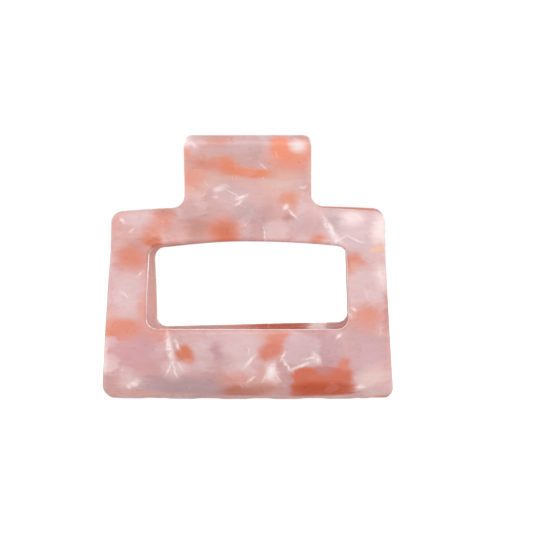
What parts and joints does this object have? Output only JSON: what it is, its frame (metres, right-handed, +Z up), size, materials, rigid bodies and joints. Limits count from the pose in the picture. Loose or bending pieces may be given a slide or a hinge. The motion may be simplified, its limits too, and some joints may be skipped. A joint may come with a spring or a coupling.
{
  "type": "claw clip",
  "caption": "Rectangular open-window claw clip of marbled acetate: two bowed jaws with thumb tabs and curled teeth on a sprung metal hinge.",
  "frame": {"origin": "middle of the closed clip's width and depth, on the level surface under its teeth", "axes": "+Z up towards the thumb tabs, X along the hinge pin, the front jaw at -Y"},
  "size_m": [0.0604, 0.0328, 0.055],
  "materials": {
    "acetate": "polished pearlescent pink acetate, marbled with orange",
    "hinge_plate": "satin nickel plate",
    "pin": "bright nickel plate",
    "spring_wire": "drawn spring wire",
    "rivet": "bright nickel plate"
  },
  "bodies": {
    "back_side": {"back_jaw": "acetate", "back_hinge_plate": "hinge_plate", "back_rivet_left": "rivet", "back_rivet_right": "rivet", "hinge_pin": "pin", "torsion_spring": "spring_wire"},
    "front_side": {"front_jaw": "acetate", "front_hinge_plate": "hinge_plate", "front_rivet_left": "rivet", "front_rivet_right": "rivet"}
  },
  "joints": [
    {"name": "jaw_hinge", "type": "hinge", "parent": "back_side", "child": "front_side", "pos_m": [0, 0, 0.03917], "axis": [-1, 0, 0], "range_deg": [0, 55], "stiffness_Nm_per_rad": 0.08, "springref_deg": -85.94, "deforming": ["torsion_spring"]}
  ]
}
